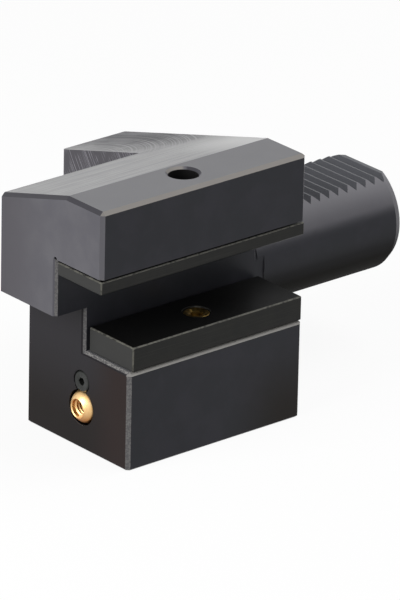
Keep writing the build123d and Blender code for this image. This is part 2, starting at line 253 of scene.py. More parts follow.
# %% [markdown]
# ## Blackened steel: the scratched step
# Where the block steps back to the flange, the end mill left steep arcs that shine through the oxide.
# Straight scratches would be simpler, but the real ones are parts of large circles. So arcs about X are
# cut into patches by coarse noise. They are 0.4 mm apart, about as coarse as they have to be to show.

# %% Scratched step
STEP_CUTTER = (-28, 70)
step = times(skin, front, ramp_mm(skin, place[0], -32, -30), ramp_mm(skin, place[1], 5, 9))
step_arcs = cutter_arcs(skin, point, STEP_CUTTER, 0.4, axis=0)
patchy = ramp(skin, grain(skin, point, (5, 5, 9), 1.0), 0.42, 0.6)
scratches = times(
    skin, step, ramp(skin, step_arcs, 0.54, 0.66), patchy, ramp_mm(skin, place[2], -12, 18),
)
layers.append((scratches, "#95939a"))
print("the step is scratched in", len(layers), "layers")

# %% [markdown]
# ## Blackened steel: the slotted side
# The slotted side was ground before the bath. It is painted darkest and most even, a blue black: painted
# shade on the side that turns from the lamps. Towards its lower rear corner it is painted darker and
# browner, more painted shade with a brown tint. It is one soft mask over two lengths, so the shade has no
# edge.

# %% Slotted side
side = ramp(skin, facing[1], *SQUARE_ON)
lower_rear_shade = times(skin, side, ramp_mm(skin, place[0], -34, -6), ramp_mm(skin, place[2], -12, -42))
# Painted shade: the side darker, and darker and browner still towards its lower rear corner.
layers += [
    (side, "#323338"),
    (times(skin, side, ramp(skin, mottle, 0.4, 0.7)), "#37373d"),
    (lower_rear_shade, "#1d1814"),
]
print("with the side there are", len(layers), "layers")

# %% [markdown]
# ## Blackened steel: the lower jaw's front
# The jaw's front is painted darker than the overhang above it, painted shade under the overhang, and turns
# to a reddish brown towards its foot and its slotted side, a painted brown reflection. The mask ends sharply
# at the overhang, because there is a real step there, and it leaves out the flange, which also faces
# forwards.

# %% Lower jaw's front
SHARP = 0.1 * MM
below_overhang = ramp(skin, place[2], OVERHANG_Z + SHARP, OVERHANG_Z - SHARP)
jaw_front_shade = times(skin, front, below_overhang, ramp_mm(skin, place[0], -34, -36))
# Painted shade under the overhang, with a painted brown reflection lower down and towards the side.
layers += [
    (jaw_front_shade, "#232125"),
    (times(skin, jaw_front_shade, ramp_mm(skin, place[2], -8, -38)), "#0d0605"),
    (times(skin, jaw_front_shade, ramp_mm(skin, place[1], -20, -38)), "#1f1210"),
]
print("with the lower jaw there are", len(layers), "layers")

# %% [markdown]
# ## Blackened steel: the ground top and the brushed slope
# The narrow top was ground and is plain. It and the wide slope behind it are painted paler than the rest:
# painted light on the faces that turn up to the lamps. The slope was milled along its length, so fine pale
# streaks run from end to end. Noise that is 80 times longer than wide gives them. They are half a millimetre
# wide, wider than real ones, so that they still show.

# %% Top and slope
up = ramp(skin, facing[2], 0.9, 0.95)
slope = times(skin, up, ramp(skin, facing[1], 0.1, 0.2))
streaks = grain(skin, point, (40, 0.5, 0.5), 3.0)
layers += [
    # Painted light: the top and the slope paler than the rest.
    (up, "#707073"),
    (slope, "#7a7a7b"),
    (times(skin, slope, ramp(skin, streaks, 0.4, 0.65)), "#949495"),
]
print("with the tops there are", len(layers), "layers")

# %% [markdown]
# ## Blackened steel: the swirl on the flange
# On the flange the face mill turned, and left a swirl: dull dark patches where it rubbed, bright arcs
# where it cut, and a polished corner near the slotted side. The arcs' centre lies off the slope, so
# no bull's eye shows. The dull part is kept in a mask of its own, because it is rougher as well.

# %% Swirl
SWIRL = (-48, 34)
arcs = cutter_arcs(skin, point, SWIRL, 0.7)
dull = times(skin, slope, ramp_mm(skin, place[0], -34, -8), ramp_mm(skin, place[1], -4, 26))
patches = ramp(skin, grain(skin, point, (7, 12, 10), 2.0), 0.6, 0.4)
on_flange = ramp_mm(skin, place[0], -42, -20)
polished = times(skin, slope, ramp_mm(skin, place[0], -30, -4), ramp_mm(skin, place[1], 8, -16))
layers += [
    (dull, "#5b5b5e"),
    (times(skin, dull, patches), "#2f2f33"),
    (times(skin, dull, ramp(skin, arcs, 0.5, 0.4)), "#515155"),
    (times(skin, slope, on_flange, ramp(skin, arcs, 0.5, 0.66)), "#858586"),
    (polished, "#b4b4b4"),
]
print("with the swirl there are", len(layers), "layers")

# %% [markdown]
# ## Blackened steel: the shank and its rack
# The shank was turned and ground. It is painted pale above and almost black below, more than its roundness
# alone explains: a painted highlight on top and painted shade underneath, where it is also made matt. The
# flanks of the rack's teeth were cut afterwards. They face along the shank, so a mask on the sideways part
# of the normal finds them.

# %% Shank and rack
RACK_START = (17.4, 17.8)
on_shank = ramp_mm(skin, place[0], 0, 0.2)
sideways = add(skin, "ShaderNodeMath", {0: facing[1]}, operation="ABSOLUTE").outputs[0]
shank_underside_shade = times(skin, on_shank, ramp(skin, facing[2], 0.1, -0.5))
teeth = times(
    skin, ramp_mm(skin, place[0], *RACK_START), ramp(skin, sideways, 0.05, 0.02),
    ramp_mm(skin, place[2], 12, 13),
)
# A painted highlight on the shank's top and painted shade under it.
layers += [
    (times(skin, on_shank, ramp(skin, facing[2], 0.2, 0.8)), "#7c7b80"),
    (shank_underside_shade, "#1b1a18"),
    (teeth, "#5a5b60"),
]
print("with the shank there are", len(layers), "layers")

# %% [markdown]
# ## Blackened steel: the broken edges
# Edges were broken with a file. Above the slot that was done before the bath, so they are only a shade off.
# The front's are painted dark, painted shade, and the side's warm and pale, a painted highlight. One mask
# finds them all, and the way each of them faces tells the front's from the side's, so no edge has to be
# measured.

# %% Edges above the slot
edge = times(skin, ramp(skin, square, *BROKEN_EDGE), ramp_mm(skin, place[0], 0.2, -0.2))
turned_up = ramp(skin, facing[2], 0.5, 0.6)
front_edge_shade = times(skin, edge, ramp(skin, facing[0], -0.5, -0.6), turned_up)
side_edge_highlight = times(skin, edge, ramp(skin, facing[1], -0.5, -0.6), turned_up)
layers += [(edge, "#66656a"), (front_edge_shade, "#3f3e43"), (side_edge_highlight, "#8c8884")]
print("with the upper edges there are", len(layers), "layers")

# %% [markdown]
# ## Blackened steel: edges rubbed bare
# Round the slot and down the jaw the edges were broken after the bath, and tools slide over them, so
# bare steel shows in small bright grains of about 0.6 mm. The front's edges are worn on part of their
# width only. The mask for the rest measures how far a point lies behind the front that is nearest.

# %% Edges below the slot
under_slot = ramp(skin, place[2], SEAT_Z + 1 * MM, SEAT_Z - 1 * MM)
bare = times(skin, edge, under_slot)
speckle = times(
    skin, bare, ramp(skin, grain(skin, point, (0.6, 0.6, 0.6), 2.0), 0.4, 0.62),
    ramp_mm(skin, place[1], 2, -2), ramp(skin, facing[1], -0.8, -0.6),
)
nearest = add(skin, "ShaderNodeMapRange", {0: below_overhang, 3: FRONT_X, 4: JAW_FRONT_X}).outputs[0]
behind = add(skin, "ShaderNodeMath", {0: place[0], 1: nearest}, operation="SUBTRACT").outputs[0]
past_side_edge = ramp(skin, place[1], SIDE_Y + 1.5 * MM, SIDE_Y + 1.6 * MM)
unworn = times(skin, bare, ramp_mm(skin, behind, 0.5, 0.38), past_side_edge)
layers += [
    (bare, "#5f5e5f"),
    # The side's edges below the slot are bare steel with a painted highlight.
    (times(skin, side_edge_highlight, under_slot), "#95938f"),
    (speckle, "#8f8d8b"),
    (unworn, "#5f5e64"),
    # Below the overhang the unworn part takes the jaw front's painted shade.
    (times(skin, unworn, below_overhang), "#262427"),
]
print("with the bare edges there are", len(layers), "layers")

# %% [markdown]
# ## Blackened steel: deep holes
# Little light reaches the counterbore in the top and the walls round the nozzle. Shadow does most of the
# darkening. A dark layer of painted shade inside the holes does the rest, up to just below their rims.

# %% Holes
NOZZLE_AND_LOCK = (-18.8, -26)
hole = middle("seat_plate_screw") / MM
hole_shade = times(
    skin, ramp_mm(skin, from_axis(skin, point, (hole.x, hole.y)), 5.5, 5.1),
    ramp(skin, place[2], SEAT_Z, SEAT_Z + 1 * MM), ramp(skin, place[2], TOP_Z - 0.7 * MM, TOP_Z - 0.9 * MM),
)
sunk_shade = times(
    skin, ramp(skin, place[0], JAW_FRONT_X + 0.1 * MM, JAW_FRONT_X + 0.3 * MM),
    ramp_mm(skin, place[0], -50, -55),
    ramp_mm(skin, from_axis(skin, point, NOZZLE_AND_LOCK, axis=0), 11, 10),
)
# Painted shade inside the counterbore and round the nozzle.
layers += [(hole_shade, "#1b1a1a"), (sunk_shade, "#0c0b0b")]
print("the steel has", len(layers), "layers")

# %% [markdown]
# ## Blackened steel: relief and gloss
# The oxide isn't a bare metal, so the shader isn't metallic. To the eye it is a satin dark skin with a
# weak, wide highlight. The tool marks also stand up a little, which one bump node does for streaks, arcs
# and fine grain together. Where the skin is dull or oily its roughness rises, and its highlight fades.

# %% Finish the steel
fine = grain(skin, point, (0.5, 0.5, 0.5), 2.0)
marks = add(skin, "ShaderNodeMath", {0: streaks, 1: fine, 2: arcs}, operation="MULTIPLY_ADD")
relief = add(skin, "ShaderNodeBump", {"Height": marks.outputs[0], "Strength": 0.12, "Distance": 0.05 * MM})
satin = add(skin, "ShaderNodeMapRange", {0: mottle, 3: 0.34, 4: 0.46})
worn = add(skin, "ShaderNodeMapRange", {0: dull, 3: satin.outputs[0], 4: 0.55})
roughness = add(skin, "ShaderNodeMapRange", {0: shank_underside_shade, 3: worn.outputs[0], 4: 0.9})
finish_material(
    skin, Base_Color=painted(skin, "#5c5b61", layers), Roughness=roughness.outputs[0],
    Normal=relief.outputs[0], Specular_IOR_Level=0.15,
)
print("made", steel.name, "of", len(skin.nodes), "nodes")

# %% [markdown]
# ## Ground hardened steel
# Both plates of the slot are hardened, blackened and surface ground. To the eye they are a neutral dark grey
# with fine straight lines along the grinding. Their front faces are painted a little paler, painted light.
# The faces a tool lies on are painted nearly black, painted shade under the part above them, and so are the
# edges that face down, while the upper edges are rubbed to a thin, broken pale line. The body's material
# would be simpler to reuse, but its masks belong to the body's own faces, so the plates have a short one of
# their own.

# %% Plate material
plate_steel, ground = new_material("ground_hardened_steel")
point, place, facing, square = place_and_facing(ground)
lines = grain(ground, point, (25, 0.3, 0.3), 3.0)
cloud = grain(ground, point, (6, 6, 6), 3.0)
rubbed = ramp(ground, grain(ground, point, (1.5, 1.5, 1.5), 3.0), 0.25, 0.6)
edge = ramp(ground, square, *BROKEN_EDGE)
colour = painted(ground, "#2a2a29", [
    (ramp(ground, cloud, 0.35, 0.7), "#2e2e2c"),
    (ramp(ground, lines, 0.5, 0.75), "#353532"),
    # Painted light on the front faces, then painted shade on the faces turned up and on the lower edges.
    (ramp(ground, facing[0], *SQUARE_ON), "#373736"),
    (ramp(ground, facing[2], 0.9, 0.95), "#0b0b0b"),
    (times(ground, edge, ramp(ground, facing[2], -0.5, -0.2), rubbed), "#66655e"),
    (times(ground, edge, ramp(ground, facing[2], -0.2, -0.5)), "#0b0b0a"),
])
relief = add(ground, "ShaderNodeBump", {"Height": lines, "Strength": 0.15, "Distance": 0.03 * MM})
roughness = add(ground, "ShaderNodeMapRange", {0: cloud, 3: 0.36, 4: 0.5})
finish_material(
    ground, Base_Color=colour, Roughness=roughness.outputs[0], Normal=relief.outputs[0],
    Specular_IOR_Level=0.12,
)
print("made", plate_steel.name, "of", len(ground.nodes), "nodes")

# %% [markdown]
# ## Finishes of the small parts
# The small parts are a few millimetres wide, so a stack of masks would never be seen on them. They still
# aren't one flat colour: each varies between two tones over a grain of its own, has a fine relief, and has
# painted shade where it faces down. One function makes them, from what differs between the real ones.

# %% Small part finish
ROUGHNESS_BELOW, ROUGHNESS_ABOVE = 0.05, 0.08


def small_part_finish(name, dark, light, shade_below, roughness, metallic, grain_mm):
    """A finish whose colour and roughness vary over grains of a given size, with painted shade below."""
    material, tree = new_material(name)
    point, _, facing, _ = place_and_facing(tree)
    cloud = grain(tree, point, (grain_mm, grain_mm, grain_mm), 3.0)
    fine = grain(tree, point, (0.3, 0.3, 0.3), 2.0)
    colour = painted(tree, dark, [
        (ramp(tree, cloud, 0.3, 0.7), light), (ramp(tree, facing[2], 0.2, -0.7), shade_below),
    ])
    relief = add(tree, "ShaderNodeBump", {"Height": fine, "Strength": 0.1, "Distance": 0.03 * MM})
    varied = add(tree, "ShaderNodeMapRange", {
        0: cloud, 3: roughness - ROUGHNESS_BELOW, 4: roughness + ROUGHNESS_ABOVE,
    })
    finish_material(
        tree, Base_Color=colour, Roughness=varied.outputs[0], Normal=relief.outputs[0],
        Metallic=metallic, Specular_IOR_Level=0.3,
    )
    print("made", name, "with a grain of", grain_mm, "mm")
    return material


# %% [markdown]
# ## Five small materials
# Each is set from its real kind: a dark, a light and a shaded tone, then roughness, metallic value and
# grain. The comment above each says what the real one gives the eye.

# %% Small materials
# Phosphated and oiled screw steel: near black, satin, with hardly any metal in its highlight.
screw_steel = small_part_finish("blackened_screw_steel", "#1e201e", "#2b2d2b", "#171817", 0.38, 0.1, 2.0)
# Steel plated with yellow passivated zinc: a golden, slightly blotchy metal.
zinc = small_part_finish("yellow_passivated_zinc", "#7a6230", "#a98d50", "#6b5428", 0.36, 1.0, 1.5)
# Drawn wire: bright grey and smooth, as drawing through a die leaves it.
wire_steel = small_part_finish("drawn_spring_wire", "#8c8c8e", "#a8a8aa", "#77777a", 0.3, 1.0, 2.0)
# Brass off the lathe: warm and pale, with a soft sheen from the turning marks.
brass = small_part_finish("turned_brass", "#e8bd80", "#f2d09a", "#b27a45", 0.4, 1.0, 2.5)
# Nitrile rubber: black and matt, with no metal at all.
rubber = small_part_finish("nitrile_rubber", "#141414", "#1d1d1d", "#101010", 0.6, 0.0, 1.0)

# %% [markdown]
# ## Shapes that follow a rule
# A thread and a spring are one section that is carried round a helix. Modelled by hand, each size would
# be new work. A Geometry Nodes tree with named sizes makes them all. Two helpers give such a tree its
# inputs, and its end: instances made real, so that plain mesh comes out, and a material.

# %% Tree helpers
def node_group(name, sizes):
    """A Geometry Nodes group with these float inputs and a material input, and its input sockets."""
    group = bpy.data.node_groups.new(name, "GeometryNodeTree")
    for size, default in sizes.items():
        socket = group.interface.new_socket(size, in_out="INPUT", socket_type="NodeSocketFloat")
        socket.default_value = default
    group.interface.new_socket("Material", in_out="INPUT", socket_type="NodeSocketMaterial")
    group.interface.new_socket("Geometry", in_out="OUTPUT", socket_type="NodeSocketGeometry")
    return group, add(group, "NodeGroupInput").outputs


def end_group(group, geometry, material):
    """Realizes what the tree made, gives it its material and sends it out."""
    real = add(group, "GeometryNodeRealizeInstances", {0: geometry})
    dressed = add(group, "GeometryNodeSetMaterial", {"Geometry": real.outputs[0], "Material": material})
    add(group, "NodeGroupOutput", {0: dressed.outputs[0]})


print("trees end in Realize Instances and Set Material")

# %% [markdown]
# ## The helix tree
# The spiral curve climbs along Z, and its normals are kept upright, so the section doesn't roll on its
# way. With three corners the section is the ridge of a thread, and with twelve it is a round wire.

# %% Helix tree
STEPS_PER_TURN = 48
helix_tree, given = node_group("helix_sweep", {
    "Radius": 3 * MM, "Height": 6 * MM, "Turns": 6.0, "Section": 0.5 * MM, "Corners": 3.0,
})
spiral = add(helix_tree, "GeometryNodeCurveSpiral", {
    "Resolution": STEPS_PER_TURN, "Rotations": given["Turns"], "Start Radius": given["Radius"],
    "End Radius": given["Radius"], "Height": given["Height"],
})
upright = add(helix_tree, "GeometryNodeSetCurveNormal", {0: spiral.outputs[0]}, mode="Z_UP")
section = add(helix_tree, "GeometryNodeCurvePrimitiveCircle", {
    "Resolution": given["Corners"], "Radius": given["Section"],
})
swept = add(helix_tree, "GeometryNodeCurveToMesh", {
    "Curve": upright.outputs[0], "Profile Curve": section.outputs[0], "Fill Caps": True,
})
end_group(helix_tree, swept.outputs[0], given["Material"])
print("helix tree:", len(helix_tree.nodes), "nodes")

# %% [markdown]
# ## The threaded bar tree
# A screw's thread is cut into its bar, so it must not stand out as a ridge. A ridge on a thin bar would
# need a join all along its foot. Instead every point of a fine cylinder is moved inwards by a wave
# that climbs one pitch for each turn, and its ends are cut back to a cone, as a real screw's are.

# %% Threaded bar: the wave
RINGS_PER_TURN = 10.0
CREST, ROOT = 0.06, 0.44
bar_tree, given = node_group("threaded_bar", {
    "Radius": 6 * MM, "Pitch": 1.75 * MM, "Depth": 1 * MM, "Length": 27 * MM,
})
turns = add(bar_tree, "ShaderNodeMath", {0: given["Length"], 1: given["Pitch"]}, operation="DIVIDE")
rings = add(bar_tree, "ShaderNodeMath", {0: turns.outputs[0], 1: RINGS_PER_TURN}, operation="MULTIPLY")
bar = add(bar_tree, "GeometryNodeMeshCylinder", {
    "Vertices": STEPS_PER_TURN, "Side Segments": rings.outputs[0], "Radius": given["Radius"],
    "Depth": given["Length"],
})
where = add(bar_tree, "GeometryNodeInputPosition")
xyz = add(bar_tree, "ShaderNodeSeparateXYZ", {0: where.outputs[0]}).outputs
angle = add(bar_tree, "ShaderNodeMath", {0: xyz[1], 1: xyz[0]}, operation="ARCTAN2")
share = add(bar_tree, "ShaderNodeMath", {0: angle.outputs[0], 1: 2 * math.pi}, operation="DIVIDE")
climbed = add(bar_tree, "ShaderNodeMath", {0: xyz[2], 1: given["Pitch"]}, operation="DIVIDE")
phase = add(bar_tree, "ShaderNodeMath", {0: climbed.outputs[0], 1: share.outputs[0]}, operation="SUBTRACT")
wave = add(bar_tree, "ShaderNodeMath", {0: phase.outputs[0], 1: 0.5}, operation="PINGPONG")
flank = add(bar_tree, "ShaderNodeMapRange", {0: wave.outputs[0], 1: CREST, 2: ROOT})
cut = add(bar_tree, "ShaderNodeMath", {0: flank.outputs[0], 1: given["Depth"]}, operation="MULTIPLY")
print("the wave takes", len(bar_tree.nodes), "nodes")

# %% [markdown]
# ## The threaded bar's ends and its new points
# The cone starts at the thread's root on each end face and grows outwards at 45 degrees. Each point takes
# the smaller of the two radii, of the thread and of the cone, and keeps its height.

# %% Threaded bar: the ends
threaded = add(bar_tree, "ShaderNodeMath", {0: given["Radius"], 1: cut.outputs[0]}, operation="SUBTRACT")
height = add(bar_tree, "ShaderNodeMath", {0: xyz[2]}, operation="ABSOLUTE")
half = add(bar_tree, "ShaderNodeMath", {0: given["Length"], 1: 0.5}, operation="MULTIPLY")
to_end = add(bar_tree, "ShaderNodeMath", {0: half.outputs[0], 1: height.outputs[0]}, operation="SUBTRACT")
root = add(bar_tree, "ShaderNodeMath", {0: given["Radius"], 1: given["Depth"]}, operation="SUBTRACT")
cone = add(bar_tree, "ShaderNodeMath", {0: root.outputs[0], 1: to_end.outputs[0]}, operation="ADD")
radius = add(bar_tree, "ShaderNodeMath", {0: threaded.outputs[0], 1: cone.outputs[0]}, operation="MINIMUM")
factor = add(bar_tree, "ShaderNodeMath", {0: radius.outputs[0], 1: given["Radius"]}, operation="DIVIDE")
scale = add(bar_tree, "ShaderNodeCombineXYZ", {"X": factor.outputs[0], "Y": factor.outputs[0], "Z": 1.0})
moved = add(
    bar_tree, "ShaderNodeVectorMath", {0: where.outputs[0], 1: scale.outputs[0]}, operation="MULTIPLY"
)
shaped = add(bar_tree, "GeometryNodeSetPosition", {
    "Geometry": bar.outputs[0], "Position": moved.outputs[0],
})
end_group(bar_tree, shaped.outputs[0], given["Material"])
print("threaded bar tree:", len(bar_tree.nodes), "nodes")

# %% [markdown]
# ## From tree to plain mesh
# A live modifier would be lost when the object is exported, so each piece is taken out of its tree as a
# plain mesh and moved to its place. Faces that meet under 35 degrees are shaded as one smooth surface,
# which keeps a thread's crest sharp and a wire round.

# %% Grow a piece
SMOOTH_UNDER = math.radians(35)


def grown(name, group, material, place, **sizes):
    """The plain mesh object that a group makes from its sizes, moved to its place."""
    piece = bpy.data.objects.new(name, bpy.data.meshes.new(name))
    bpy.context.scene.collection.objects.link(piece)
    modifier = piece.modifiers.new("made", "NODES")
    modifier.node_group = group
    for socket in group.interface.items_tree:
        if socket.in_out == "INPUT":
            value = material if socket.name == "Material" else sizes.get(socket.name, socket.default_value)
            modifier[socket.identifier] = value
    evaluated = piece.evaluated_get(bpy.context.evaluated_depsgraph_get())
    mesh = bpy.data.meshes.new_from_object(evaluated)
    piece.modifiers.remove(modifier)
    mesh.transform(place)
    mesh.shade_smooth()
    mesh.set_sharp_from_angle(angle=SMOOTH_UNDER)
    piece.data = mesh
    print("grew", name, "with", len(mesh.polygons), "faces")
    return piece


# %% [markdown]
# ## Turned pieces
# Screw heads, nuts and rings are rows of points round an axis. A curve could be spun for the round ones,
# but a hexagon or a knurl isn't round. So each row has a height, and either a plain radius or a rule
# that gives the radius at an angle. The ends are filled, or joined to each other for a ring.

# %% Turned mesh
CORNERS = 72


def hexagon(across_flats):
    """The radius of a hexagon at an angle."""
    def radius(angle):
        from_flat = (angle + math.pi / 6) % (math.pi / 3) - math.pi / 6
        return across_flats / 2 / math.cos(from_flat)
    return radius


def turned_mesh(rows, place, closed):
    """A bmesh of rows (height, radius or rule)."""
    shape = bmesh.new()
    rings = []
    for height, rule in rows:
        ring = []
        for step in range(CORNERS):
            angle = 2 * math.pi * step / CORNERS
            radius = rule(angle) if callable(rule) else rule
            ring.append(shape.verts.new((radius * math.cos(angle), radius * math.sin(angle), height)))
        rings.append(ring)
    pairs = list(zip(rings, rings[1:]))
    if closed:
        pairs.append((rings[-1], rings[0]))
    else:
        shape.faces.new(rings[0])
        shape.faces.new(rings[-1])
    for lower, upper in pairs:
        for step in range(CORNERS):
            after = (step + 1) % CORNERS
            shape.faces.new((lower[step], lower[after], upper[after], upper[step]))
    bmesh.ops.recalc_face_normals(shape, faces=shape.faces)
    bmesh.ops.transform(shape, matrix=place, verts=shape.verts)
    return shape


print("a turned row has", CORNERS, "points")

# %% [markdown]
# ## Pieces from turned rows
# A turned mesh becomes a piece with a material and smooth shading. A screw is made of two or three such
# shapes. They are put into one mesh, because a real screw is one part and moves as one. The last helper
# puts a finished piece in the place of its CAD node, which is hidden, and lets it ride on the same body.

# %% Turned piece and joining
def turned_piece(name, rows, material, place, closed=False):
    """A mesh object of turned rows. Its ends are filled, or joined if it is closed."""
    shape = turned_mesh(rows, place, closed)
    mesh = bpy.data.meshes.new(name)
    shape.to_mesh(mesh)
    shape.free()
    mesh.materials.append(material)
    mesh.shade_smooth()
    mesh.set_sharp_from_angle(angle=SMOOTH_UNDER)
    piece = bpy.data.objects.new(name, mesh)
    bpy.context.scene.collection.objects.link(piece)
    print("turned", name, "with", len(mesh.polygons), "faces")
    return piece


def joined(first, *others):
    """One piece from several that belong to the same part."""
    whole = bmesh.new()
    for piece in (first, *others):
        whole.from_mesh(piece.data)
    whole.to_mesh(first.data)
    whole.free()
    first.data.set_sharp_from_angle(angle=SMOOTH_UNDER)
    for piece in others:
        bpy.data.objects.remove(piece)
    return first


def standing_for(piece, node, body):
    """Puts a piece in the place of its CAD node, on the body that the node rides on."""
    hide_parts(node)
    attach(piece, body)
    print(piece.name, "stands for", node, "and rides on", body)


# %% [markdown]
# ## Socket head
# Both plate screws have a round head with a knurl for the fingers and a hexagonal socket for the key.
# The knurl is a rule for the radius, which is lighter than cut grooves. The top has a turned-off rim and
# a lead-in that opens the socket, the two details that catch the light.

# %% Socket head
KNURLS = 36
KNURL_DEPTH = 0.12 * MM
LEAD_IN = 1.5


def socket_head(name, material, place, height, radius, flats, depth):
    """A knurled socket head that points up from z 0."""
    def knurl(angle):
        return radius - KNURL_DEPTH * abs(math.sin(angle * KNURLS / 2))
    rows = [
        (0, radius - 0.3 * MM), (0.3 * MM, knurl), (height - 1.1 * MM, knurl), (height - 0.9 * MM, radius),
        (height - 0.2 * MM, radius), (height, radius - 0.2 * MM), (height, flats / 2 * LEAD_IN),
        (height - 0.6 * MM, hexagon(flats)), (height - depth, hexagon(flats)),
    ]
    return turned_piece(name, rows, material, place)


print("a head has", KNURLS, "knurls")

# %% [markdown]
# ## The two plate screws
# The seat plate's black M5 screw sits deep in the top face's counterbore. The pull screw's yellow head
# lies just below the pressure plate's face, and its threaded end carries the nut. Both have the same
# head and thread, so one function makes them from the boxes of their nodes.

# %% Plate screws
HEAD_HEIGHT, HEAD_RADIUS = 5 * MM, 4.25 * MM
KEY, SOCKET_DEPTH = 4 * MM, 2.5 * MM
M5_RADIUS, M5_PITCH, M5_DEPTH = 2.5 * MM, 0.8 * MM, 0.49 * MM


def plate_screw(name, node, material, body):
    """A socket head screw that points down and stands for its CAD node."""
    low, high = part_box(node)
    axis = (low + high) / 2
    head_floor = high.z - HEAD_HEIGHT
    length = head_floor - low.z
    head = socket_head(
        name, material, Matrix.Translation((axis.x, axis.y, head_floor)),
        HEAD_HEIGHT, HEAD_RADIUS, KEY, SOCKET_DEPTH,
    )
    bar = grown(
        name + "_thread", bar_tree, material, Matrix.Translation((axis.x, axis.y, low.z + length / 2)),
        Radius=M5_RADIUS, Pitch=M5_PITCH, Depth=M5_DEPTH, Length=length,
    )
    standing_for(joined(head, bar), node, body)


plate_screw("socket_screw_of_seat_plate", "seat_plate_screw", screw_steel, "seat")
plate_screw("yellow_pull_screw", "pull_screw", zinc, "clamp_plate")

# %% [markdown]
# ## The nut
# The pull screw ends in a yellow hexagon nut. A real one is turned before it is finished, so its six
# corners are cut back on both faces along a cone of 30 degrees. A plain prism would miss those curved
# flats. Here each row near a face takes the smaller of the hexagon and the cone.

# %% Nut
CORNER_SLOPE = 1.7
NUT_BORE = 2.75 * MM
CORNER_STEPS = [(0, -0.1 * MM), (0.3 * MM, 0.2 * MM), (0.5 * MM, 0.5 * MM)]
nut_low, nut_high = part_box("pull_nut")
nut_flats = nut_high.y - nut_low.y
nut_height = nut_high.z - nut_low.z
pull_axis = middle("pull_screw")


def nut_corner(drop):
    """A hexagon cut back by the turned corner, a drop below the nut's face."""
    flats = hexagon(nut_flats)
    return lambda angle: min(flats(angle), nut_flats * 0.5 + drop * CORNER_SLOPE)


lower_rows = [(0, NUT_BORE)] + [(z, nut_corner(drop)) for z, drop in CORNER_STEPS]
upper_rows = [(nut_height - z, nut_corner(drop)) for z, drop in reversed(CORNER_STEPS)]
nut = turned_piece(
    "yellow_hexagon_nut", lower_rows + upper_rows + [(nut_height, NUT_BORE)], zinc,
    Matrix.Translation((pull_axis.x, pull_axis.y, nut_low.z)), closed=True,
)
standing_for(nut, "pull_nut", "clamp_plate")

# %% [markdown]
# ## The return spring
# A coil spring sits between the washer and a shoulder inside the jaw, and draws the pressure plate back
# down. Its CAD node is a light stand-in, so a round wire is swept round the helix in its place. On the real
# holder the spring is squeezed against the shoulder when the clamp screws lift the plate; here it is one
# fixed coil that rides on the holder.

# %% Spring
WIRE = 1.2 * MM
COIL_RADIUS = 4 * MM
spring_low, spring_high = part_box("return_spring")
spring = grown(
    "coil_spring", helix_tree, wire_steel,
    Matrix.Translation((pull_axis.x, pull_axis.y, spring_low.z + WIRE / 2)),
    Radius=COIL_RADIUS, Height=spring_high.z - spring_low.z - WIRE, Turns=5.0, Section=WIRE / 2,
    Corners=12.0,
)
standing_for(spring, "return_spring", "holder")
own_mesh(spring)

# %% [markdown]
# ## Clamp screws
# Two headless M12 screws push the pressure plate up. Each has a plain tip, a threaded bar and, at its
# lower end, a hexagonal socket. The bar comes from the tree, and its last turns round the socket are
# plain turned grooves, because the end has to close round the socket. They are deep in their holes.

# %% Clamp screws
M12_RADIUS, M12_PITCH, M12_DEPTH = 6 * MM, 1.75 * MM, 1.07 * MM
TIP_LENGTH, TIP_RADIUS = 2 * MM, 4.25 * MM
SOCKET_END = 6 * MM
SOCKET_END_ROWS = [
    (5, hexagon(6 * MM)), (0.3, hexagon(6 * MM)), (0, 3.9 * MM), (0, 5.2 * MM), (0.8, 5.95 * MM),
    (1.4, 5.1 * MM), (2.2, 5.95 * MM), (3, 5.1 * MM), (3.9, 5.95 * MM), (4.7, 5.1 * MM), (5.5, 5.6 * MM),
    (6.2, 4.9 * MM),
]


def clamp_screw(name, node, body):
    """A threaded screw with a plain tip above and a socket below."""
    low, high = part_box(node)
    axis = (low + high) / 2
    bar_length = high.z - low.z - TIP_LENGTH - SOCKET_END
    bar = grown(
        name, bar_tree, screw_steel,
        Matrix.Translation((axis.x, axis.y, low.z + SOCKET_END + bar_length / 2)),
        Radius=M12_RADIUS, Pitch=M12_PITCH, Depth=M12_DEPTH, Length=bar_length,
    )
    tip = turned_piece(name + "_tip", [
        (-0.5 * MM, TIP_RADIUS), (TIP_LENGTH - 0.4 * MM, TIP_RADIUS), (TIP_LENGTH, 3.8 * MM),
    ], screw_steel, Matrix.Translation((axis.x, axis.y, high.z - TIP_LENGTH)))
    end = turned_piece(
        name + "_end", [(z * MM, rule) for z, rule in SOCKET_END_ROWS], screw_steel,
        Matrix.Translation((axis.x, axis.y, low.z)),
    )
    standing_for(joined(bar, tip, end), node, body)


for place_name in ("front", "rear"):
    clamp_screw("clamping_screw_" + place_name, "clamp_screw_" + place_name, place_name + "_clamp_screw")

# %% [markdown]
# ## Lock screw
# A small countersunk screw beside the ball holds it in its socket. It could be left to the CAD node, but
# it lies in plain view, and a bevelled rim, a tapered head and a real hexagonal socket tell it from a
# dark spot. It lies along X, so its rows are turned a quarter turn.

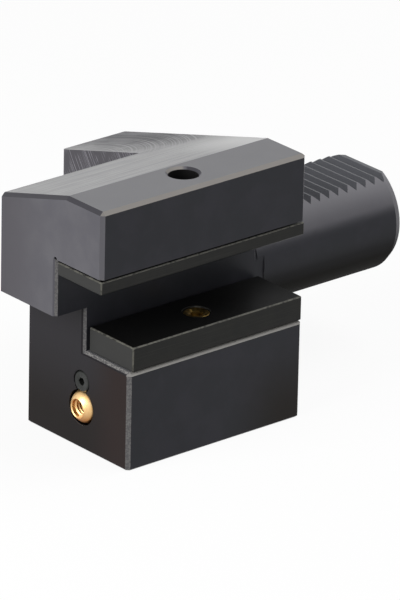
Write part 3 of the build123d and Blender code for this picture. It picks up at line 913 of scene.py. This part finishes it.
# %% Lock screw
QUARTER_TURN = Matrix.Rotation(math.pi / 2, 4, "Y")
LOCK_KEY = hexagon(2.5 * MM)
LOCK_SHAFT = 2 * MM
lock_low, lock_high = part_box("nozzle_lock_screw")
lock_centre = middle("nozzle_lock_screw")
lock_head = (lock_high.y - lock_low.y) / 2
lock_length = lock_high.x - lock_low.x
lock_screw = turned_piece("countersunk_lock_screw", [
    (1.8 * MM, LOCK_KEY), (0.1 * MM, LOCK_KEY), (0.02 * MM, 1.5 * MM), (0, lock_head - 0.6 * MM),
    (0.35 * MM, lock_head - 0.25 * MM), (0.6 * MM, lock_head - 0.2 * MM),
    (lock_head - 1.7 * MM, LOCK_SHAFT), (lock_length - 0.4 * MM, LOCK_SHAFT), (lock_length, 1.6 * MM),
], screw_steel, Matrix.Translation((lock_low.x, lock_centre.y, lock_centre.z)) @ QUARTER_TURN)
standing_for(lock_screw, "nozzle_lock_screw", "lock_screw")

# %% [markdown]
# ## Threads that are cut into holes
# The ball's mouth shows its thread plainly, and so do the clamp screws' holes from below. The CAD bores
# are plain. Cutting into them would change the CAD part, so each thread is a ridge that winds round the
# bore and stands in from its wall. That is also what is left when a tap has cut a hole.

# %% Threads in holes
RIDGE_SHARE = 0.48
BALL_THREAD = {"radius": 3 * MM, "pitch": 1.15 * MM, "length": 5 * MM}
JAW_THREAD = {"radius": 6.1 * MM, "pitch": M12_PITCH, "length": 3.5 * MM}
BALL_THREAD_START, JAW_THREAD_START = 0.9 * MM, 1.8 * MM


def thread_in_hole(name, material, place, body, slot, radius, pitch, length):
    """A triangular ridge wound round the wall of a hole, from the place's origin along its Z."""
    ridge = grown(
        name, helix_tree, material, place, Radius=radius, Height=length, Turns=length / pitch,
        Section=pitch * RIDGE_SHARE, Corners=3.0,
    )
    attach(ridge, body)


mouth = middle("nozzle_ball")
mouth.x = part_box("nozzle_ball")[0].x + BALL_THREAD_START
thread_in_hole(
    "thread_in_ball", brass, Matrix.Translation(mouth) @ QUARTER_TURN, "nozzle", "brass", **BALL_THREAD,
)
for place_name in ("front", "rear"):
    foot = middle("clamp_screw_" + place_name)
    foot.z = BOTTOM_Z + JAW_THREAD_START
    thread_in_hole(
        "thread_below_" + place_name, steel, Matrix.Translation(foot), "holder", "black_oxide_steel",
        **JAW_THREAD,
    )

# %% [markdown]
# ## Rubber seals
# One O-ring seals the ball from behind, and one seals the coolant port against the turret. The CAD rings
# have flats to stay light. A real O-ring has a round cord, so a circle of rows is closed into a ring.

# %% Seal rings
CORD_CORNERS = 16


def seal(name, node):
    """A round O-ring about X that stands for its CAD node."""
    low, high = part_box(node)
    cord = high.x - low.x
    ring_radius = (high.y - low.y - cord) / 2
    turns = [2 * math.pi * step / CORD_CORNERS for step in range(CORD_CORNERS)]
    rows = [(cord / 2 * math.sin(turn), ring_radius + cord / 2 * math.cos(turn)) for turn in turns]
    place = Matrix.Translation((low + high) / 2) @ QUARTER_TURN
    ring = turned_piece(name, rows, rubber, place, closed=True)
    standing_for(ring, node, "holder")


seal("o_ring_of_nozzle", "nozzle_seal_ring")
seal("o_ring_of_port", "port_seal_ring")

# %% [markdown]
# ## Finishes on the CAD nodes
# The body, the plates, the ball, the washer and the plug have all their edges and bores as solids
# already, so a second mesh over them would add nothing. They keep their CAD shape and take a material.

# %% Assign materials
finishes = {
    "body": steel, "seat_plate": plate_steel, "pressure_plate": plate_steel, "pull_washer": screw_steel,
    "nozzle_ball": brass, "channel_plug": screw_steel,
}
for node, material in finishes.items():
    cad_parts[node].data.materials.clear()
    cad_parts[node].data.materials.append(material)
print("dressed", sorted(finishes))

# %% [markdown]
# ## A pale floor
# The holder stands on a white table that runs out of sight. More light would whiten the floor, but
# would wash out the steel as well. So the floor is a mid grey to the light, and shows as a glowing
# white only on the rays that carry the background: those of the camera, of gloss and of glass. A small
# share of the plain grey is left in, which keeps the holder's soft shadow.

# %% Floor
LIT_TONE = 0.4
GLOW_SHARE = 0.92
FLOOR_HALF = 4.0
FLOOR_Z = BOTTOM_Z - 0.05 * MM


def shown(tree):
    """1 on the rays that show the background: the camera's, and those that metal and glass send on."""
    path = add(tree, "ShaderNodeLightPath")
    seen = path.outputs["Is Camera Ray"]
    for kind in ("Is Glossy Ray", "Is Transmission Ray"):
        seen = add(tree, "ShaderNodeMath", {0: seen, 1: path.outputs[kind]}, operation="MAXIMUM").outputs[0]
    return seen


floor_material, tree = new_material("pale_floor")
seen = shown(tree)
tone = add(tree, "ShaderNodeMapRange", {0: seen, 3: LIT_TONE, 4: 1.0})
matt = add(tree, "ShaderNodeBsdfDiffuse", {"Color": tone.outputs[0]})
glow = add(tree, "ShaderNodeEmission", {"Color": linear("#ffffff"), "Strength": 1.0})
shadowed = add(tree, "ShaderNodeMixShader", {0: GLOW_SHARE, 1: matt.outputs[0], 2: glow.outputs[0]})
surface = add(tree, "ShaderNodeMixShader", {0: seen, 1: matt.outputs[0], 2: shadowed.outputs[0]})
add(tree, "ShaderNodeOutputMaterial", {"Surface": surface.outputs[0]})
mesh = bpy.data.meshes.new("floor")
corners = [(x * FLOOR_HALF, y * FLOOR_HALF, FLOOR_Z) for x, y in ((-1, -1), (1, -1), (1, 1), (-1, 1))]
mesh.from_pydata(corners, [], [(0, 1, 2, 3)])
mesh.materials.append(floor_material)
floor = bpy.data.objects.new("floor", mesh)
bpy.context.scene.collection.objects.link(floor)
print("the floor lies at", round(FLOOR_Z / MM, 2), "mm")

# %% [markdown]
# ## The air round it
# The world is the studio's white room. Like the floor, it shows as plain white where it is seen, and
# lights the object with a fifth of that, so that the lamps decide which faces are bright.

# %% World
AIR_LIGHT = 0.2
world = bpy.data.worlds.new("studio")
bpy.context.scene.world = world
world.use_nodes = True
sky = world.node_tree
sky.nodes.clear()
strength = add(sky, "ShaderNodeMapRange", {0: shown(sky), 3: AIR_LIGHT, 4: 1.0})
air = add(sky, "ShaderNodeBackground", {"Color": linear("#ffffff"), "Strength": strength.outputs[0]})
add(sky, "ShaderNodeOutputWorld", {0: air.outputs[0]})
print("the air gives", AIR_LIGHT, "of full white")

# %% [markdown]
# ## Lamps
# Three square softboxes give the block its shape. The strongest stands to the left and lights the front,
# one above lights the tops and leaves the slotted side dark, and a weak one behind keeps the far faces
# from going black.
# Point lamps would be simpler, but their small hard highlights don't look like a studio's.

# %% Lamps
LAMP_DISTANCE = 0.9


def softbox(name, direction, width, watts):
    """A square soft lamp that hangs in a direction from the object and faces it."""
    data = bpy.data.lights.new(name, "AREA")
    data.size = width
    data.energy = watts
    toward = Vector(direction).normalized()
    turned = toward.to_track_quat("Z", "Y").to_matrix().to_4x4()
    lamp = bpy.data.objects.new(name, data)
    lamp.matrix_world = Matrix.Translation(toward * LAMP_DISTANCE) @ turned
    bpy.context.scene.collection.objects.link(lamp)
    print(name, "gives", watts, "watts")


softbox("left_softbox", (-1.0, 0.0, 0.45), 0.6, 6.4)
softbox("top_softbox", (0.4, -0.3, 0.85), 0.7, 4.6)
softbox("rear_softbox", (0.6, 0.8, 0.06), 0.6, 0.5)

# %% [markdown]
# ## The camera's place
# The camera is the one that took the photograph. It could be placed by eye, but the block's straight
# edges let it be worked out: how far round, how high, how much it is rolled, and how far off it is. It
# stands about two metres away behind a long lens, so the block's edges stay almost parallel.

# %% Camera's place
AZIMUTH = math.radians(-40.64)
ELEVATION = math.radians(22.75)
ROLL = math.radians(1.25)
DISTANCE = 2.18983
AIM = Vector((-20 * MM, -5 * MM, 0))
AIM_RIGHT = 6.22 * MM
AIM_UP = -9.46 * MM

back = Vector((
    math.sin(AZIMUTH) * math.cos(ELEVATION), -math.cos(AZIMUTH) * math.cos(ELEVATION), math.sin(ELEVATION)
))
right = Vector((math.cos(AZIMUTH), math.sin(AZIMUTH), 0))
upward = back.cross(right)
eye = AIM + right * AIM_RIGHT + upward * AIM_UP + back * DISTANCE
print("the camera stands at", [round(v, 3) for v in eye], "m")

# %% [markdown]
# ## The camera
# The roll turns the camera's own right and up directions about its line of sight. Together with the
# direction back and the place they are the columns of its matrix. Colours are shown plainly, so that
# a hex value renders about as it is written.

# %% Camera
LENS = 403.26
VIEW_END = 20
rolled_right = math.cos(ROLL) * right + math.sin(ROLL) * upward
rolled_up = -math.sin(ROLL) * right + math.cos(ROLL) * upward
camera = bpy.data.objects.new("camera", bpy.data.cameras.new("camera"))
camera.data.lens = LENS
camera.data.clip_end = VIEW_END
camera.matrix_world = Matrix((
    (rolled_right.x, rolled_up.x, back.x, eye.x),
    (rolled_right.y, rolled_up.y, back.y, eye.y),
    (rolled_right.z, rolled_up.z, back.z, eye.z),
    (0, 0, 0, 1),
))
bpy.context.scene.collection.objects.link(camera)
bpy.context.scene.camera = camera
bpy.context.scene.view_settings.view_transform = "Standard"
print("the lens is", LENS, "mm long")
